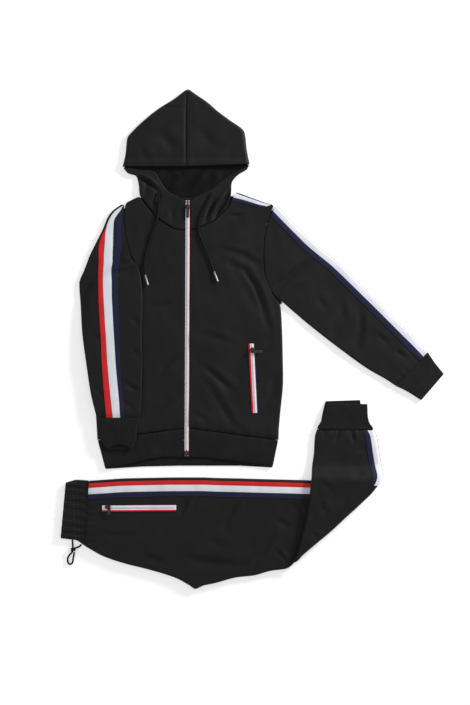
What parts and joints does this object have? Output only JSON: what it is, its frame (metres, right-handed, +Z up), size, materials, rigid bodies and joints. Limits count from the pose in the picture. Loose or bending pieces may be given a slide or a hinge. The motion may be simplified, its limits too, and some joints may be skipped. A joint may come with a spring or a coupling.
{
  "type": "jacket and trousers set",
  "caption": "Child's zip-up hooded jacket and matching trousers in black knit with red, white and navy tape, laid flat.",
  "frame": {"origin": "middle of the base of the whole laid-out set, on the surface it lies on", "axes": "+Z up from the surface, +Y from the trousers towards the hood, +X towards the jacket's spread sleeve; left and right are as seen from above"},
  "size_m": [0.825, 1.075, 0.0237],
  "materials": {
    "black_knit": "smooth double-knit jersey, matt",
    "black_rib": "fine rib knit, matt",
    "red_tape": "smooth knitted tape, slight sheen",
    "white_tape": "smooth knitted tape, slight sheen",
    "navy_tape": "smooth knitted tape, slight sheen",
    "striped_zip_tape": "woven zip tape, white with a red and a navy edge",
    "white_teeth": "fine moulded teeth, satin",
    "black_cord": "round braided cord, matt",
    "dark_metal": "black enamel, semi-gloss",
    "bright_metal": "polished nickel plate"
  },
  "bodies": {
    "garments": {"jacket_back": "black_knit", "left_front": "black_knit", "right_front": "black_knit", "left_sleeve": "black_knit", "left_sleeve_red": "red_tape", "left_sleeve_white": "white_tape", "left_sleeve_navy": "navy_tape", "right_sleeve": "black_knit", "right_sleeve_red": "red_tape", "right_sleeve_white": "white_tape", "right_sleeve_navy": "navy_tape", "right_shoulder_white": "white_tape", "right_shoulder_navy": "navy_tape", "left_cuff": "black_rib", "right_cuff": "black_rib", "hem_band": "black_rib", "hood_back": "black_knit", "hood_left": "black_knit", "hood_right": "black_knit", "hood_left_front": "black_knit", "hood_right_front": "black_knit", "zip_tape_left": "striped_zip_tape", "zip_tape_right": "striped_zip_tape", "zip_top_stop_left": "bright_metal", "zip_top_stop_right": "bright_metal", "zip_chain": "white_teeth", "zip_bottom_box": "dark_metal", "zip_slider": "dark_metal", "jacket_pocket_zip": "striped_zip_tape", "jacket_pocket_slider": "dark_metal", "hood_cord_left": "black_cord", "hood_cord_left_end": "bright_metal", "hood_cord_right": "black_cord", "hood_cord_right_end": "bright_metal", "leg": "black_knit", "leg_red": "red_tape", "leg_white": "white_tape", "leg_navy": "navy_tape", "hidden_leg": "black_knit", "hidden_shin": "black_knit", "shin": "black_knit", "shin_red": "red_tape", "shin_white": "white_tape", "shin_navy": "navy_tape", "cuff": "black_rib", "hidden_cuff": "black_rib", "waistband": "black_knit", "leg_pocket_zip": "striped_zip_tape", "leg_pocket_slider": "dark_metal", "waist_cord_left": "black_cord", "waist_cord_right": "black_cord", "waist_cord_loop": "black_cord", "waist_knot": "black_cord"},
    "front_zip_tab": {"zip_pull": "dark_metal"},
    "jacket_pocket_tab": {"jacket_pocket_pull": "dark_metal"},
    "leg_pocket_tab": {"leg_pocket_pull": "dark_metal"}
  },
  "joints": [
    {"name": "front_zip_tab_flip", "type": "hinge", "parent": "garments", "child": "front_zip_tab", "pos_m": [-0.13906, 0.2841, 0.0106], "axis": [-1, 0, 0], "range_deg": [0, 160]},
    {"name": "jacket_pocket_tab_swing", "type": "hinge", "parent": "garments", "child": "jacket_pocket_tab", "pos_m": [0.00015, -0.0265, 0.0123], "axis": [0, 0, 1], "range_deg": [-90, 20]},
    {"name": "leg_pocket_tab_swing", "type": "hinge", "parent": "garments", "child": "leg_pocket_tab", "pos_m": [-0.3075, -0.3605, 0.0159], "axis": [0, 0, 1], "range_deg": [-20, 90]}
  ]
}
